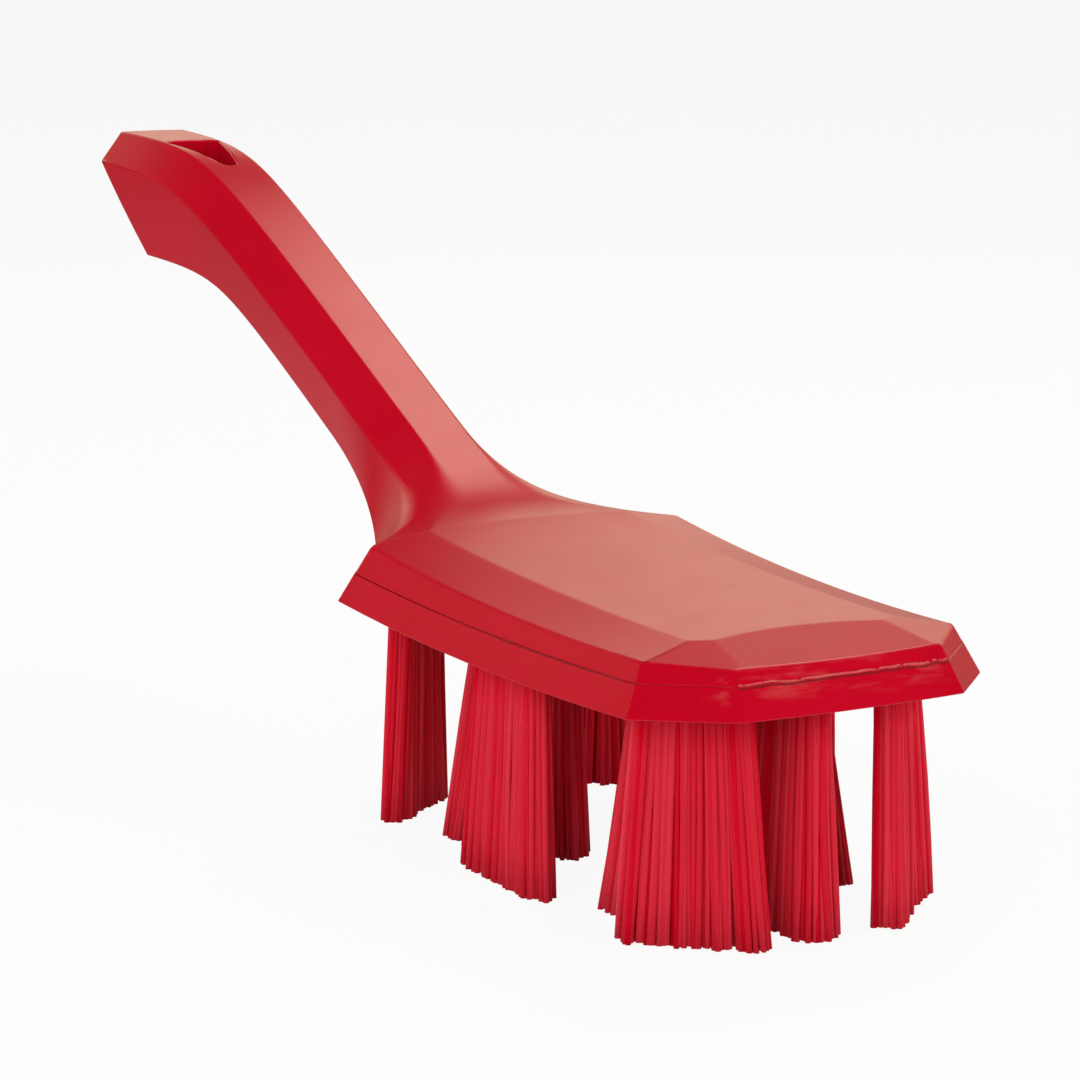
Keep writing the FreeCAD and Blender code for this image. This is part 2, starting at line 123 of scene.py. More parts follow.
def from_cloud(add, link, cloud, to_low, to_high):
    """Carries a cloudy noise, which seldom leaves its middle values, to another range."""
    return spread(add, link, cloud, CLOUD_LOW, CLOUD_HIGH, to_low, to_high)


def two_tones(add, link, factor, dark, light):
    """Mixes two colours by a factor."""
    mix = add("Mix", data_type="RGBA")
    mix.inputs[6].default_value = (*dark, 1)
    mix.inputs[7].default_value = (*light, 1)
    link(factor, mix.inputs["Factor"])
    return mix.outputs[2]


print("finish helpers ready")

# %% [markdown]
# ## Moulded plastic
# The handle, block and plate are one red plastic with a satin skin. A mould leaves a very fine grain, the
# colour clouds slightly where the melt has flowed, and the gloss is uneven over a few millimetres. Each of
# those is a noise at its own scale on Object coordinates, which are metres here, so a scale of 100 means 10
# mm patches.

# %% Moulded plastic: colour
FLOW_SCALE = 45
DEEP_RED, BRIGHT_RED = (0.57, 0.0008, 0.0150), (0.61, 0.0020, 0.0190)
moulded, shader, add, link = start_finish("moulded_red_plastic")
place = add("TexCoord").outputs["Object"]
flow = from_cloud(add, link, patches(add, link, place, FLOW_SCALE), 0, 1)
colour = two_tones(add, link, flow, DEEP_RED, BRIGHT_RED)
print("plastic from", DEEP_RED, "to", BRIGHT_RED)

# %% [markdown]
# Where block and plate are welded, the heat leaves pale smears on the nose, just above and below the seam.
# They are a noise drawn out along the seam, held to a few millimetres of its height and to the nose.

# %% Moulded plastic: weld smears
WELD_HEIGHT = 41.8 * MM
SMEAR_NEAR, SMEAR_FAR = 0.5 * MM, 3.2 * MM
NOSE_FROM, NOSE_FULL = 123.5 * MM, 125.5 * MM
SMEAR_SCALE, SMEAR_STRETCH = 520, (1, 0.28, 1.6)
SMEAR_FROM, SMEAR_FULL = 0.5, 0.68
SMEAR_COLOUR = (0.66, 0.075, 0.075, 1)
SMEAR_SHARE = 0.6
across = add("SeparateXYZ")
link(place, across.inputs["Vector"])
above_weld = sums(add, link, "SUBTRACT", across.outputs["Z"], WELD_HEIGHT)
from_weld = sums(add, link, "ABSOLUTE", above_weld, 0)
near_weld = spread(add, link, from_weld, SMEAR_NEAR, SMEAR_FAR, 1, 0)
on_nose = spread(add, link, across.outputs["X"], NOSE_FROM, NOSE_FULL, 0, 1)
drawn_out = add("Mapping")
drawn_out.inputs["Scale"].default_value = SMEAR_STRETCH
link(place, drawn_out.inputs["Vector"])
smear_patches = patches(add, link, drawn_out.outputs["Vector"], SMEAR_SCALE, detail=4)
smears = spread(add, link, smear_patches, SMEAR_FROM, SMEAR_FULL, 0, 1)
smear_band = sums(add, link, "MULTIPLY", near_weld, on_nose)
smeared = sums(add, link, "MULTIPLY", smear_band, smears)
pale = add("Mix", data_type="RGBA")
pale.inputs[7].default_value = SMEAR_COLOUR
link(sums(add, link, "MULTIPLY", smeared, SMEAR_SHARE), pale.inputs["Factor"])
link(colour, pale.inputs[6])
link(pale.outputs[2], shader.inputs["Base Color"])
print("smears round z =", WELD_HEIGHT)

# %% Moulded plastic: gloss and grain
GLOSS_SCALE, GRAIN_SCALE = 160, 3200
SMOOTHEST, ROUGHEST = 0.31, 0.33
gloss = from_cloud(add, link, patches(add, link, place, GLOSS_SCALE, detail=1), SMOOTHEST, ROUGHEST)
link(gloss, shader.inputs["Roughness"])
shader.inputs["IOR"].default_value = 1.42
grain = add("Bump")
grain.inputs["Strength"].default_value = 0.12
grain.inputs["Distance"].default_value = 0.05 * MM
link(patches(add, link, place, GRAIN_SCALE, detail=2), grain.inputs["Height"])
link(grain.outputs["Normal"], shader.inputs["Normal"])
print("moulded plastic:", len(moulded.node_tree.nodes), "nodes")


# %% [markdown]
# ## Filament
# Each filament is a solid drawn thread of nearly the same red. Each strand carries a number on its own
# vertices that mixes a darker and a paler red. This is partly the threads' own tone, which differs a little
# at random, and partly a painted highlight: the paler red stands in for the pink sheen of lit strands.
# Drawing leaves fine streaks of gloss along them. A low index of refraction keeps their sheen weak, so that
# the bundles stay red.

# %% Filament
STREAK_SCALE, STREAK_STRETCH = 2500, (1, 1, 0.04)
GLOSSY_STREAK, DULL_STREAK = 0.30, 0.42
# The paler red is partly the threads' own tone and partly a painted highlight for the pink sheen of lit
# strands.
DARK_STRAND, PALE_STRAND_AND_SHEEN = (0.68, 0.0006, 0.018), (0.79, 0.048, 0.078)
filament, shader, add, link = start_finish("red_filament")
strand_tone_and_sheen = add("Attribute", attribute_name="strand_tone_and_sheen").outputs["Fac"]
link(two_tones(add, link, strand_tone_and_sheen, DARK_STRAND, PALE_STRAND_AND_SHEEN), shader.inputs["Base Color"])
place = add("TexCoord").outputs["Object"]
drawn = add("Mapping")
drawn.inputs["Scale"].default_value = STREAK_STRETCH
link(place, drawn.inputs["Vector"])
streaks = patches(add, link, drawn.outputs["Vector"], STREAK_SCALE, detail=2)
link(from_cloud(add, link, streaks, GLOSSY_STREAK, DULL_STREAK), shader.inputs["Roughness"])
shader.inputs["IOR"].default_value = 1.15
print("filament:", len(filament.node_tree.nodes), "nodes")


# %% [markdown]
# ## Fused anchors
# Inside the block every tuft ends in a head of its own melted filament. It is the same red, duller and
# lumpier. The heads are out of sight, so the solid model's own nodes only get a finish.

# %% Fused anchors
LUMP_SCALE = 900
SMOOTH_LUMP, ROUGH_LUMP = 0.45, 0.65
DARK_LUMP, PALE_LUMP = (0.36, 0.0008, 0.006), (0.50, 0.004, 0.018)
fused, shader, add, link = start_finish("fused_filament")
place = add("TexCoord").outputs["Object"]
lumps = patches(add, link, place, LUMP_SCALE)
link(two_tones(add, link, lumps, DARK_LUMP, PALE_LUMP), shader.inputs["Base Color"])
link(from_cloud(add, link, lumps, SMOOTH_LUMP, ROUGH_LUMP), shader.inputs["Roughness"])
dimples = add("Bump")
dimples.inputs["Strength"].default_value = 0.3
dimples.inputs["Distance"].default_value = 0.1 * MM
link(lumps, dimples.inputs["Height"])
link(dimples.outputs["Normal"], shader.inputs["Normal"])
anchors = [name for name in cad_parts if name.startswith("anchor_")]
for name in anchors:
    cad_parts[name].data.materials.clear()
    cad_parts[name].data.materials.append(fused)
print("fused anchors:", len(anchors))


# %% [markdown]
# ## Edge lines of the moulding
# Handle, neck and block are one moulding, and three pairs of edge lines carry its whole form: the edges of
# the top, the ridges along the sides and the edges of the base. Seen from the side each line is a height
# over x, and seen from above a width over x. These are the solid model's own formulas, in millimetres, so
# that the dressed moulding lies where the solid one does, but on a clean grid that takes a bevel and a
# sheen well.

# %% Heights of the edge lines
NOSE, END = 130.0, -130.0
LOWEST = 36.2
UNDERSIDE_LOW, UNDERSIDE_RADIUS = 88.5, 720
DECK_LOW, DECK_RADIUS = 109, 943
RIM_LOW, RIM_RADIUS = 95, 560
BLOCK_HEIGHT, RIM_HEIGHT = 9.9, 7.9
CLIMB_FOOT, CLIMB_ANGLE = 28.2, math.radians(26.7)
GRIP_TOP, GRIP_DEPTH, RIDGE_DROP = 107.2, 17.6, 7.1
END_DEPTH, END_RIDGE_DROP = 24.4, 5.5
NECK_EASE, KNEE_EASE = 3.4, 9.5
BASE_EASE, BASE_KNEE_EASE = 2, 8.5


def rocker(x, low, radius, height):
    """An arc with its lowest point at low, this high above the lowest line of the underside."""
    return LOWEST + height + (x - low) ** 2 / (2 * radius)


def over(first, second, ease):
    """The higher of two lines, eased where they cross."""
    return (first + second + math.hypot(first - second, ease)) / 2


def under(first, second, ease):
    """The lower of two lines, eased where they cross."""
    return (first + second - math.hypot(first - second, ease)) / 2


def climb(x):
    """The straight climb of the grip's top."""
    return LOWEST + BLOCK_HEIGHT + math.tan(CLIMB_ANGLE) * (CLIMB_FOOT - x)


def underside(x):
    """The rocker of the plate's underside."""
    return rocker(x, UNDERSIDE_LOW, UNDERSIDE_RADIUS, 0)


def top_line(x):
    """The deck, then the climb, then the level end of the grip."""
    rising = over(rocker(x, DECK_LOW, DECK_RADIUS, BLOCK_HEIGHT), climb(x), NECK_EASE)
    return under(rising, GRIP_TOP, KNEE_EASE)


def ridge_line(x):
    """The rim of the block and the widest line of the grip."""
    rising = over(rocker(x, RIM_LOW, RIM_RADIUS, RIM_HEIGHT), climb(x) - RIDGE_DROP, NECK_EASE)
    return under(rising, GRIP_TOP - END_RIDGE_DROP, KNEE_EASE)


def base_line(x):
    """The foot of the block's wall and the lower edge of the grip."""
    rising = over(underside(x), climb(x) - GRIP_DEPTH, BASE_EASE)
    return under(rising, GRIP_TOP - END_DEPTH, BASE_KNEE_EASE)


print("top at the end, neck and nose:", [round(top_line(x), 1) for x in (END, 20, 110)])

# %% [markdown]
# From above, each line runs straight along the block. Behind the shoulder it swings in along an arc to the
# waist, and the grip then widens slowly towards its end. The shoulder and the end both lean, so each line
# meets them at an x of its own.

# %% Widths of the edge lines
SHOULDER, SHOULDER_LEAN = 32.3, 2.7
FRONT_CORNER = 116.7
LEAN_ROUNDS = 40
PAST_END, END_SLANT = 4, 16
EDGE_LINES = {
    "top": dict(height=top_line, waist=9.9, end=14.2, flare=45, front=36.3, shoulder=38.2),
    "ridge": dict(height=ridge_line, waist=18.4, end=26, flare=45, front=54.6, shoulder=59.2),
    "base": dict(height=base_line, waist=16, end=16.6, flare=76, front=62.6, shoulder=69.4),
}


def on_lean(height, top_x, base_x):
    """Where an edge line meets a section that leans from one x at the top to another at the base."""
    share = 0.0
    for step in range(LEAN_ROUNDS):
        x = top_x + share * (base_x - top_x)
        share = (top_line(top_x) - height(x)) / (top_line(top_x) - base_line(base_x))
    return top_x + share * (base_x - top_x)


for line in EDGE_LINES.values():
    line["shoulder_x"] = on_lean(line["height"], SHOULDER, SHOULDER - SHOULDER_LEAN)
    line["end_x"] = on_lean(line["height"], END - PAST_END, END - PAST_END + END_SLANT)


def block_half(line, x):
    """Half the width on the block: straight from the shoulder to the front corner."""
    share = (FRONT_CORNER - x) / (FRONT_CORNER - line["shoulder_x"])
    return (line["front"] + (line["shoulder"] - line["front"]) * share) / 2


def grip_half(line, x):
    """Half the width on the grip: a waist that flares into the block and widens towards the end."""
    rise = (line["shoulder"] - line["waist"]) / 2
    run = math.sqrt(line["flare"] ** 2 - (line["flare"] - rise) ** 2)
    into_flare = max(0, x - (line["shoulder_x"] - run))
    flare = line["flare"] - math.sqrt(line["flare"] ** 2 - into_flare ** 2)
    towards_end = (line["shoulder_x"] - x) / (line["shoulder_x"] - line["end_x"])
    return line["waist"] / 2 + flare + (line["end"] - line["waist"]) / 2 * towards_end ** 3


print("shoulder at x", [round(line["shoulder_x"], 1) for line in EDGE_LINES.values()])

# %% [markdown]
# ## Handle and block
# A six-cornered ring stands at every station from past the handle's end up to the nose. Its upper corners
# are rounded a little, and much more in the neck, where the facets melt into a soft fold. The top is
# crowned. Ahead of the plate's rear edge the ring stops at the seam, and behind it the ring reaches the
# base.

# %% Corners of a ring
PAST_NOSE = 1
SEAM, SEAM_GAP = 4.4, 0.15
HALVINGS = 30


def corners_at(share, forward):
    """Top, ridge and base corner of a ring, on the left."""
    corners = []
    for line in EDGE_LINES.values():
        stop = NOSE + PAST_NOSE if forward else line["end_x"]
        x = line["shoulder_x"] + share * (stop - line["shoulder_x"])
        half = block_half(line, x) if forward else grip_half(line, x)
        corners.append(Vector((x, half, line["height"](x))))
    return corners


def down_to_seam(ridge, base):
    """The point of the wall where the moulding stops at the seam."""
    low, high = 0.0, 1.0
    for halving in range(HALVINGS):
        middle = (low + high) / 2
        point = base.lerp(ridge, middle)
        if point.z < underside(point.x) + SEAM + SEAM_GAP:
            low = middle
        else:
            high = middle
    return base.lerp(ridge, high)


print("ring at the shoulder:", [tuple(round(n, 1) for n in corner) for corner in corners_at(0, True)])

# %% Points of a ring
LEAST_EASE, FOLD_EASE = 0.5, 3.2
FOLD_PLACE, FOLD_REACH = 17, 8
ROUND_STEPS = 14
CROWN = 0.5
CREST = (0.5, 0.25, 0, -0.25, -0.5)
SIDE_PART, CREST_PART = 0.45, 0.9


def ease_at(x):
    """How far from a ridge or top edge its rounding starts: little, but far more in the fold of the neck."""
    return LEAST_EASE + FOLD_EASE * math.exp(-((x - FOLD_PLACE) / FOLD_REACH) ** 2)


def rounded(before, corner, after, shares):
    """Points that round a corner on an even curve, within given shares of the two sides."""
    reach = ease_at(corner.x)
    start = corner + (before - corner).normalized() * min(reach, shares[0] * (before - corner).length)
    stop = corner + (after - corner).normalized() * min(reach, shares[1] * (after - corner).length)
    steps = [step / ROUND_STEPS for step in range(ROUND_STEPS + 1)]
    return [start.lerp(corner, t).lerp(corner.lerp(stop, t), t) for t in steps]


def ring_points(corners, to_seam):
    """All points of a ring, from the left foot over the crowned top to the right foot."""
    top, ridge, base = corners
    foot = down_to_seam(ridge, base) if to_seam else base
    crown = CROWN * (top.y * 2 / EDGE_LINES["top"]["shoulder"]) ** 2
    crest = [Vector((top.x, top.y * u, top.z + crown * (1 - u * u))) for u in CREST]
    left = [foot] + rounded(foot, ridge, top, (SIDE_PART, SIDE_PART))
    left += rounded(ridge, top, crest[0], (SIDE_PART, CREST_PART))
    right = [Vector((p.x, -p.y, p.z)) for p in reversed(left)]
    return left + crest + right


print("rounding in the fold:", ease_at(FOLD_PLACE), "mm, on the grip:", round(ease_at(-60), 2), "mm")

# %% [markdown]
# The rings stand closest near the shoulder, where the form changes fastest. At the plate's rear edge two
# rings share one place, one down to the base and one only to the seam, and make the step that the plate's
# edge stands against.

# %% Rings along the moulding
GRIP_RINGS, GRIP_CROWDING = 110, 1.3
BLOCK_RINGS, BLOCK_CROWDING = 24, 1.6
PLATE_REAR = 12.0
STEP_ROOM = 0.5
SEARCH_STEPS = 4000


def ring_with_base(x):
    """The corners of the grip's ring whose base corner lies at this x."""
    choices = [corners_at(step / SEARCH_STEPS, False) for step in range(SEARCH_STEPS)]
    return min(choices, key=lambda corners: abs(corners[2].x - x))


grip_shares = [(step / GRIP_RINGS) ** GRIP_CROWDING for step in range(GRIP_RINGS, 0, -1)]
block_shares = [(step / BLOCK_RINGS) ** BLOCK_CROWDING for step in range(BLOCK_RINGS + 1)]
grip_corners = [corners_at(share, False) for share in grip_shares]
block_corners = [corners_at(share, True) for share in block_shares]
behind_plate = [c for c in grip_corners if c[2].x < PLATE_REAR - STEP_ROOM]
over_plate = [c for c in grip_corners if c[2].x > PLATE_REAR + STEP_ROOM] + block_corners
step_corners = ring_with_base(PLATE_REAR - SEAM_GAP)
rings = [ring_points(c, False) for c in behind_plate + [step_corners]]
rings += [ring_points(c, True) for c in [step_corners] + over_plate]
print("rings:", len(rings), "of", len(rings[0]), "points")

# %% [markdown]
# The first ring is drawn and filled, and its edges are extruded from ring to ring. That gives a regular
# grid of four-sided faces, closed at both ends, which bends with the form and takes cuts and bevels
# cleanly.

# %% Skin over the rings
SAME_POINT = 0.001


def skin_over(rings):
    """Draws the first ring and extrudes it from ring to ring, closed at both ends."""
    skin = bmesh.new()
    ring = [skin.verts.new(point) for point in rings[0]]
    ring_edges = [skin.edges.new(pair) for pair in zip(ring, ring[1:] + ring[:1])]
    bmesh.ops.edgeloop_fill(skin, edges=ring_edges)
    for points in rings[1:]:
        grown = bmesh.ops.extrude_edge_only(skin, edges=ring_edges)["geom"]
        fresh = {item for item in grown if isinstance(item, bmesh.types.BMVert)}
        ring_edges = [e for e in grown if isinstance(e, bmesh.types.BMEdge) and set(e.verts) <= fresh]
        following = []
        for vert, point in zip(ring, points):
            partner = next(e.other_vert(vert) for e in vert.link_edges if e.other_vert(vert) in fresh)
            partner.co = point
            following.append(partner)
        ring = following
    bmesh.ops.edgeloop_fill(skin, edges=ring_edges)
    bmesh.ops.remove_doubles(skin, verts=skin.verts, dist=SAME_POINT)
    bmesh.ops.recalc_face_normals(skin, faces=skin.faces)
    return skin


skin = skin_over(rings)
print("skin:", len(skin.verts), "vertices,", len(skin.faces), "faces")

# %% [markdown]
# The rings run past both ends, and planes then trim the end and the nose, as the mould-maker's cutter
# would. The slanted end and the nose are slightly bowed, so each is a fan of a few planes. The nose and its
# two corners lean back by one draft angle, which lets the block leave its mould.

# %% Trim the end
TRIM_REACH = 60
CUT_LIMIT = 0.0005
END_BOW = 0.8
END_FAN = (-0.8, -0.4, 0, 0.4, 0.8)


def with_borders(faces):
    """The faces with their edges and vertices, in the same order on every run."""
    edges = dict.fromkeys(edge for face in faces for edge in face.edges)
    verts = dict.fromkeys(vert for face in faces for vert in face.verts)
    return faces + list(edges) + list(verts)


def trim(shape, point, outward):
    """Takes off what lies outside a plane, within its reach, and closes the cut with one flat face."""
    near = with_borders([f for f in shape.faces if all(abs(v.co.x - point.x) < TRIM_REACH for v in f.verts)])
    cut = bmesh.ops.bisect_plane(
        shape, geom=near, dist=CUT_LIMIT, plane_co=point, plane_no=outward.normalized(), clear_outer=True
    )["geom_cut"]
    bmesh.ops.edgeloop_fill(shape, edges=[item for item in cut if isinstance(item, bmesh.types.BMEdge)])


end_top = Vector((END, 0, top_line(END)))
end_base = Vector((END + END_SLANT, 0, base_line(END + END_SLANT)))
half_chord = (end_top - end_base) / 2
outward = Vector((-half_chord.z, 0, half_chord.x)).normalized()
for share in END_FAN:
    point = (end_top + end_base) / 2 + half_chord * share + outward * END_BOW * (1 - share ** 2)
    trim(skin, point, outward + half_chord * (2 * END_BOW * share / half_chord.length_squared))
print("end trimmed:", len(skin.faces), "faces")

# %% Trim the nose
DRAFT = math.radians(29)
NOSE_BOW, NOSE_HALF = 1.0, 19.5
NOSE_FAN = (-0.86, -0.58, -0.29, 0, 0.29, 0.58, 0.86)
face_x = NOSE - NOSE_BOW
foot = underside(face_x)
along = Vector((face_x - FRONT_CORNER, NOSE_HALF - EDGE_LINES["base"]["front"] / 2, 0)).normalized()


def drafted(x, y):
    """A wall's outward direction, leaned back by the draft."""
    flat = Vector((x, y, 0)).normalized()
    return flat * math.cos(DRAFT) + Vector((0, 0, math.sin(DRAFT)))


def trim_nose(shape, proud_face, proud_corners):
    """Trims the bowed front face and the two front corners, each this far outside the true wall."""
    for share in NOSE_FAN:
        wall = drafted(1, 2 * NOSE_BOW * share / NOSE_HALF)
        point = Vector((face_x + NOSE_BOW * (1 - share ** 2), share * NOSE_HALF, foot))
        trim(shape, point + wall * proud_face, wall)
    for side in (1, -1):
        wall = drafted(-along.y, side * along.x)
        trim(shape, Vector((face_x, side * NOSE_HALF, foot)) + wall * proud_corners, wall)


trim_nose(skin, 0, 0)
print("nose trimmed:", len(skin.faces), "faces")

# %% [markdown]
# A broad bevel slopes from the deck down to the nose, and a three-cornered facet joins it to the bevel
# along each side. Both are planes through points that the edge lines give: the deck's corner, the nose's
# and the rim's.

# %% Bevels round the deck
FRONT_BEVEL = 12.6
NOSE_HEIGHT = 7.7
rim_height = LOWEST + NOSE_HEIGHT
inset = math.tan(DRAFT) * (rim_height - foot)
face_top = Vector((face_x - inset, NOSE_HALF - inset * (1 + along.y) / along.x, rim_height))
deck_x = face_top.x - FRONT_BEVEL
deck_corner = Vector((deck_x, block_half(EDGE_LINES["top"], deck_x), top_line(deck_x)))
rise = deck_corner.z + CROWN - face_top.z
run = face_top.x + NOSE_BOW - deck_x
trim(skin, Vector((deck_x, 0, deck_corner.z + CROWN)), Vector((rise, 0, run)))


def past_rim(back):
    """How far a point lies outside the rim, this far back along the corner's wall."""
    point = face_top - along * back
    return point.y - block_half(EDGE_LINES["ridge"], point.x)


rim_corner = face_top - along * (past_rim(0) / (past_rim(0) - past_rim(1)))
rim_corner.z = ridge_line(rim_corner.x)
facet = (rim_corner - deck_corner).cross(face_top - deck_corner)
facet = facet if facet.z > 0 else -facet
for side in (1, -1):
    point = Vector((deck_x, side * deck_corner.y, deck_corner.z))
    trim(skin, point, Vector((facet.x, side * facet.y, facet.z)))
bmesh.ops.scale(skin, vec=(MM, MM, MM), verts=skin.verts)
print("deck bevels cut:", len(skin.faces), "faces")

# %% [markdown]
# ## Weld
# Block and plate are welded together, and the melt fills the seam: a hair below the wall along the sides,
# level with it towards the front, and on the nose it has been squeezed out into a thin, wavy bead. It is a
# slab inside the wall, made from rings of its own and trimmed by the same planes.

# %% Weld in the seam
WELD_BELOW, WELD_ABOVE = 0.45, 0.3
SET_IN_REAR, SET_IN_CHANGE = 0.08, 0.075
CHANGE_FROM, CHANGE_OVER = 40, 35
WELD_PROUD = 0.02


def weld_points(corners):
    """Four corners of the weld's ring, set in behind the wall."""
    ridge, base = corners[1:]
    line = down_to_seam(ridge, base)
    set_in = SET_IN_REAR - SET_IN_CHANGE * min(1, max(0, line.x - CHANGE_FROM) / CHANGE_OVER)
    wall = (ridge - base).normalized()
    low = line - wall * WELD_BELOW
    high = line + wall * WELD_ABOVE
    left = [Vector((p.x, p.y - set_in, p.z)) for p in (low, high)]
    return left + [Vector((p.x, -p.y, p.z)) for p in reversed(left)]


weld = skin_over([weld_points(c) for c in over_plate])
trim_nose(weld, WELD_PROUD, -WELD_PROUD)
print("weld slab:", len(weld.faces), "faces")

# %% [markdown]
# On the nose the slab's edge is cut across in short steps. A slow wave and a quick ripple, both from a
# noise, then push it up and down, out and in, and it becomes the bead.

# %% Bead on the nose
BEAD_CUTS, BEAD_STEP, CUTS_FROM = 24, 0.75, 100
BEAD_HALF, BEAD_FROM = 17.5, 123
WAVE_RATE, RIPPLE_RATE, UPWARD_RATE = 0.35, 1.3, 0.1
WAVE_UP, RIPPLE_UP = 0.30, 0.12
WAVE_BACK, RIPPLE_OUT = 0.15, 0.05
for cut in range(-BEAD_CUTS, BEAD_CUTS + 1):
    near = with_borders([f for f in weld.faces if min(v.co.x for v in f.verts) > CUTS_FROM])
    place = (0, cut * BEAD_STEP, 0)
    bmesh.ops.bisect_plane(weld, geom=near, dist=CUT_LIMIT, plane_co=place, plane_no=(0, 1, 0))
for vert in weld.verts:
    if vert.co.x > BEAD_FROM and abs(vert.co.y) < BEAD_HALF:
        wave = noise.noise(Vector((vert.co.y * WAVE_RATE, vert.co.z * UPWARD_RATE, 3)))
        ripple = noise.noise(Vector((vert.co.y * RIPPLE_RATE, vert.co.z * UPWARD_RATE, 8)))
        vert.co.z += WAVE_UP * wave + RIPPLE_UP * ripple
        vert.co.x += RIPPLE_OUT * ripple - WAVE_BACK * wave
bmesh.ops.scale(weld, vec=(MM, MM, MM), verts=weld.verts)
print("weld with bead:", len(weld.faces), "faces")

# %% [markdown]
# ## From shape to piece
# Every finished shape becomes an object in the same way: a mesh with its place in it, one finish, smooth
# shading and a place under the body's empty. The solid model's node that it stands for is hidden.

# %% Finished pieces
def new_object(name, shape):
    """Makes a shape an object in the scene."""
    mesh = bpy.data.meshes.new(name)
    shape.to_mesh(mesh)
    shape.free()
    made = bpy.data.objects.new(name, mesh)
    bpy.context.collection.objects.link(made)
    return made


def finished_piece(name, shape, finish, node):
    """Makes the shape an object that stands for its node."""
    piece = new_object(name, shape)
    piece.data.materials.append(finish)
    piece.data.polygons.foreach_set("use_smooth", [True] * len(piece.data.polygons))
    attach(piece, "root")
    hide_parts(node)
    return piece


print("ready to make pieces")

# %% [markdown]
# ## Hang hole
# The hole near the handle's end is a triangle with rounded corners, right through. It is the hull of three
# upright rods, one per corner. A Boolean modifier takes it out and is applied before the edges are rounded,
# so that the hole's rim is rounded too.

# %% Prism of the hole
HOLE_ROUND = 1.7
HOLE_CORNERS = ((-108.3, 3.7), (-108.3, -3.7), (-91.1, 0))
HOLE_FOOT, HOLE_HEAD = 60, 120
CIRCLE_SIDES = 32
hole = bmesh.new()
for x, y in HOLE_CORNERS:
    for z in (HOLE_FOOT, HOLE_HEAD):
        place = Matrix.Translation((x, y, z))
        bmesh.ops.create_circle(hole, segments=CIRCLE_SIDES, radius=HOLE_ROUND, matrix=place)
bmesh.ops.convex_hull(hole, input=hole.verts)
bmesh.ops.dissolve_limit(hole, angle_limit=math.radians(0.5), verts=hole.verts, edges=hole.edges)
bmesh.ops.delete(hole, geom=[e for e in hole.edges if not e.link_faces], context="EDGES")
bmesh.ops.delete(hole, geom=[v for v in hole.verts if not v.link_faces], context="VERTS")
bmesh.ops.recalc_face_normals(hole, faces=hole.faces)
bmesh.ops.scale(hole, vec=(MM, MM, MM), verts=hole.verts)
print("hole prism:", len(hole.faces), "faces")

# %% Cut the hang hole
hole_prism = new_object("hole_prism", hole)
solid_skin = new_object("solid_skin", skin)
cutter = solid_skin.modifiers.new("hang_hole", "BOOLEAN")
cutter.object = hole_prism
cutter.operation = "DIFFERENCE"
cutter.solver = "EXACT"
evaluated = solid_skin.evaluated_get(bpy.context.evaluated_depsgraph_get())
holed = bpy.data.meshes.new_from_object(evaluated)
shape = bmesh.new()
shape.from_mesh(holed)
for helper in (hole_prism, solid_skin):
    bpy.data.objects.remove(helper)
print("hang hole cut:", len(shape.faces), "faces")

# %% [markdown]
# ## Rounded edges
# No moulded edge is perfectly sharp: each has a small round that catches the light. On the block every edge
# that turns by more than a few degrees gets a narrow bevel, and on the grip those that the rings haven't
# rounded. The edge at the seam gets a finer one, so that the seam stays a thin line. The Weighted Normal
# modifier then keeps the broad facets flat and leaves the turn of the light to the bevels.

# %% Round the handle's edges
BLOCK_SHARP = math.radians(7.3)
GRIP_SHARP = math.radians(25)
GRIP_STOPS = 28 * MM
EDGE_ROUND = 0.45 * MM
SEAM_ROUND = 0.1 * MM
SEAM_FROM, SEAM_BAND = 11 * MM, 0.4


def round_edges(shape, width, chosen):
    """Bevels the sharp edges that are chosen."""
    sharp = []
    for edge in shape.edges:
        limit = GRIP_SHARP if min(v.co.x for v in edge.verts) < GRIP_STOPS else BLOCK_SHARP
        if len(edge.link_faces) == 2 and edge.calc_face_angle() > limit and chosen(edge):
            sharp.append(edge)
    bmesh.ops.bevel(
        shape, geom=sharp, offset=width, offset_type="OFFSET", segments=3, profile=0.5, affect="EDGES",
        clamp_overlap=False, material=-1,
    )
    return len(sharp)


def on_seam(edge):
    """True where both ends of an edge lie at the seam or below it."""
    ends = [v.co for v in edge.verts]
    return all(c.x > SEAM_FROM and c.z < (underside(c.x / MM) + SEAM + SEAM_BAND) * MM for c in ends)


seam_edges = round_edges(shape, SEAM_ROUND, on_seam)
other_edges = round_edges(shape, EDGE_ROUND, lambda edge: not on_seam(edge))
weld_mesh = bpy.data.meshes.new("weld")
weld.to_mesh(weld_mesh)
weld.free()
shape.from_mesh(weld_mesh)
handle = finished_piece("handle_and_block", shape, moulded, "handle_body")
handle.modifiers.new("flat_facets", "WEIGHTED_NORMAL")
print("handle:", seam_edges, "seam edges,", other_edges, "others,", len(handle.data.polygons), "faces")

# %% [markdown]
# ## Plate
# The plate under the seam is plain apart from its thirteen slots, so it is a copy of its node: the loose
# triangles are merged and joined into broad faces. Its outer lower edge gets a round of its own, and all
# others the seam's.

# %% Plate from its node
MERGE_WITHIN = 0.002 * MM
FLAT_WITHIN, JOIN_WITHIN, SHAPE_WITHIN = math.radians(0.3), math.radians(20), math.radians(120)
shape = bmesh.new()
shape.from_mesh(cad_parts["bristle_plate"].data)
bmesh.ops.remove_doubles(shape, verts=shape.verts, dist=MERGE_WITHIN)
bmesh.ops.dissolve_limit(shape, angle_limit=FLAT_WITHIN, verts=shape.verts, edges=shape.edges)
bmesh.ops.join_triangles(
    shape, faces=shape.faces, angle_face_threshold=JOIN_WITHIN, angle_shape_threshold=SHAPE_WITHIN
)
print("plate merged:", len(shape.faces), "faces")

# %% Round the plate's edges
LOWER_ROUND = 0.3 * MM
LOW_BAND, RIM_BAND = 0.3, 0.6
WALL_FROM, CORNERS_FROM = 30, 114


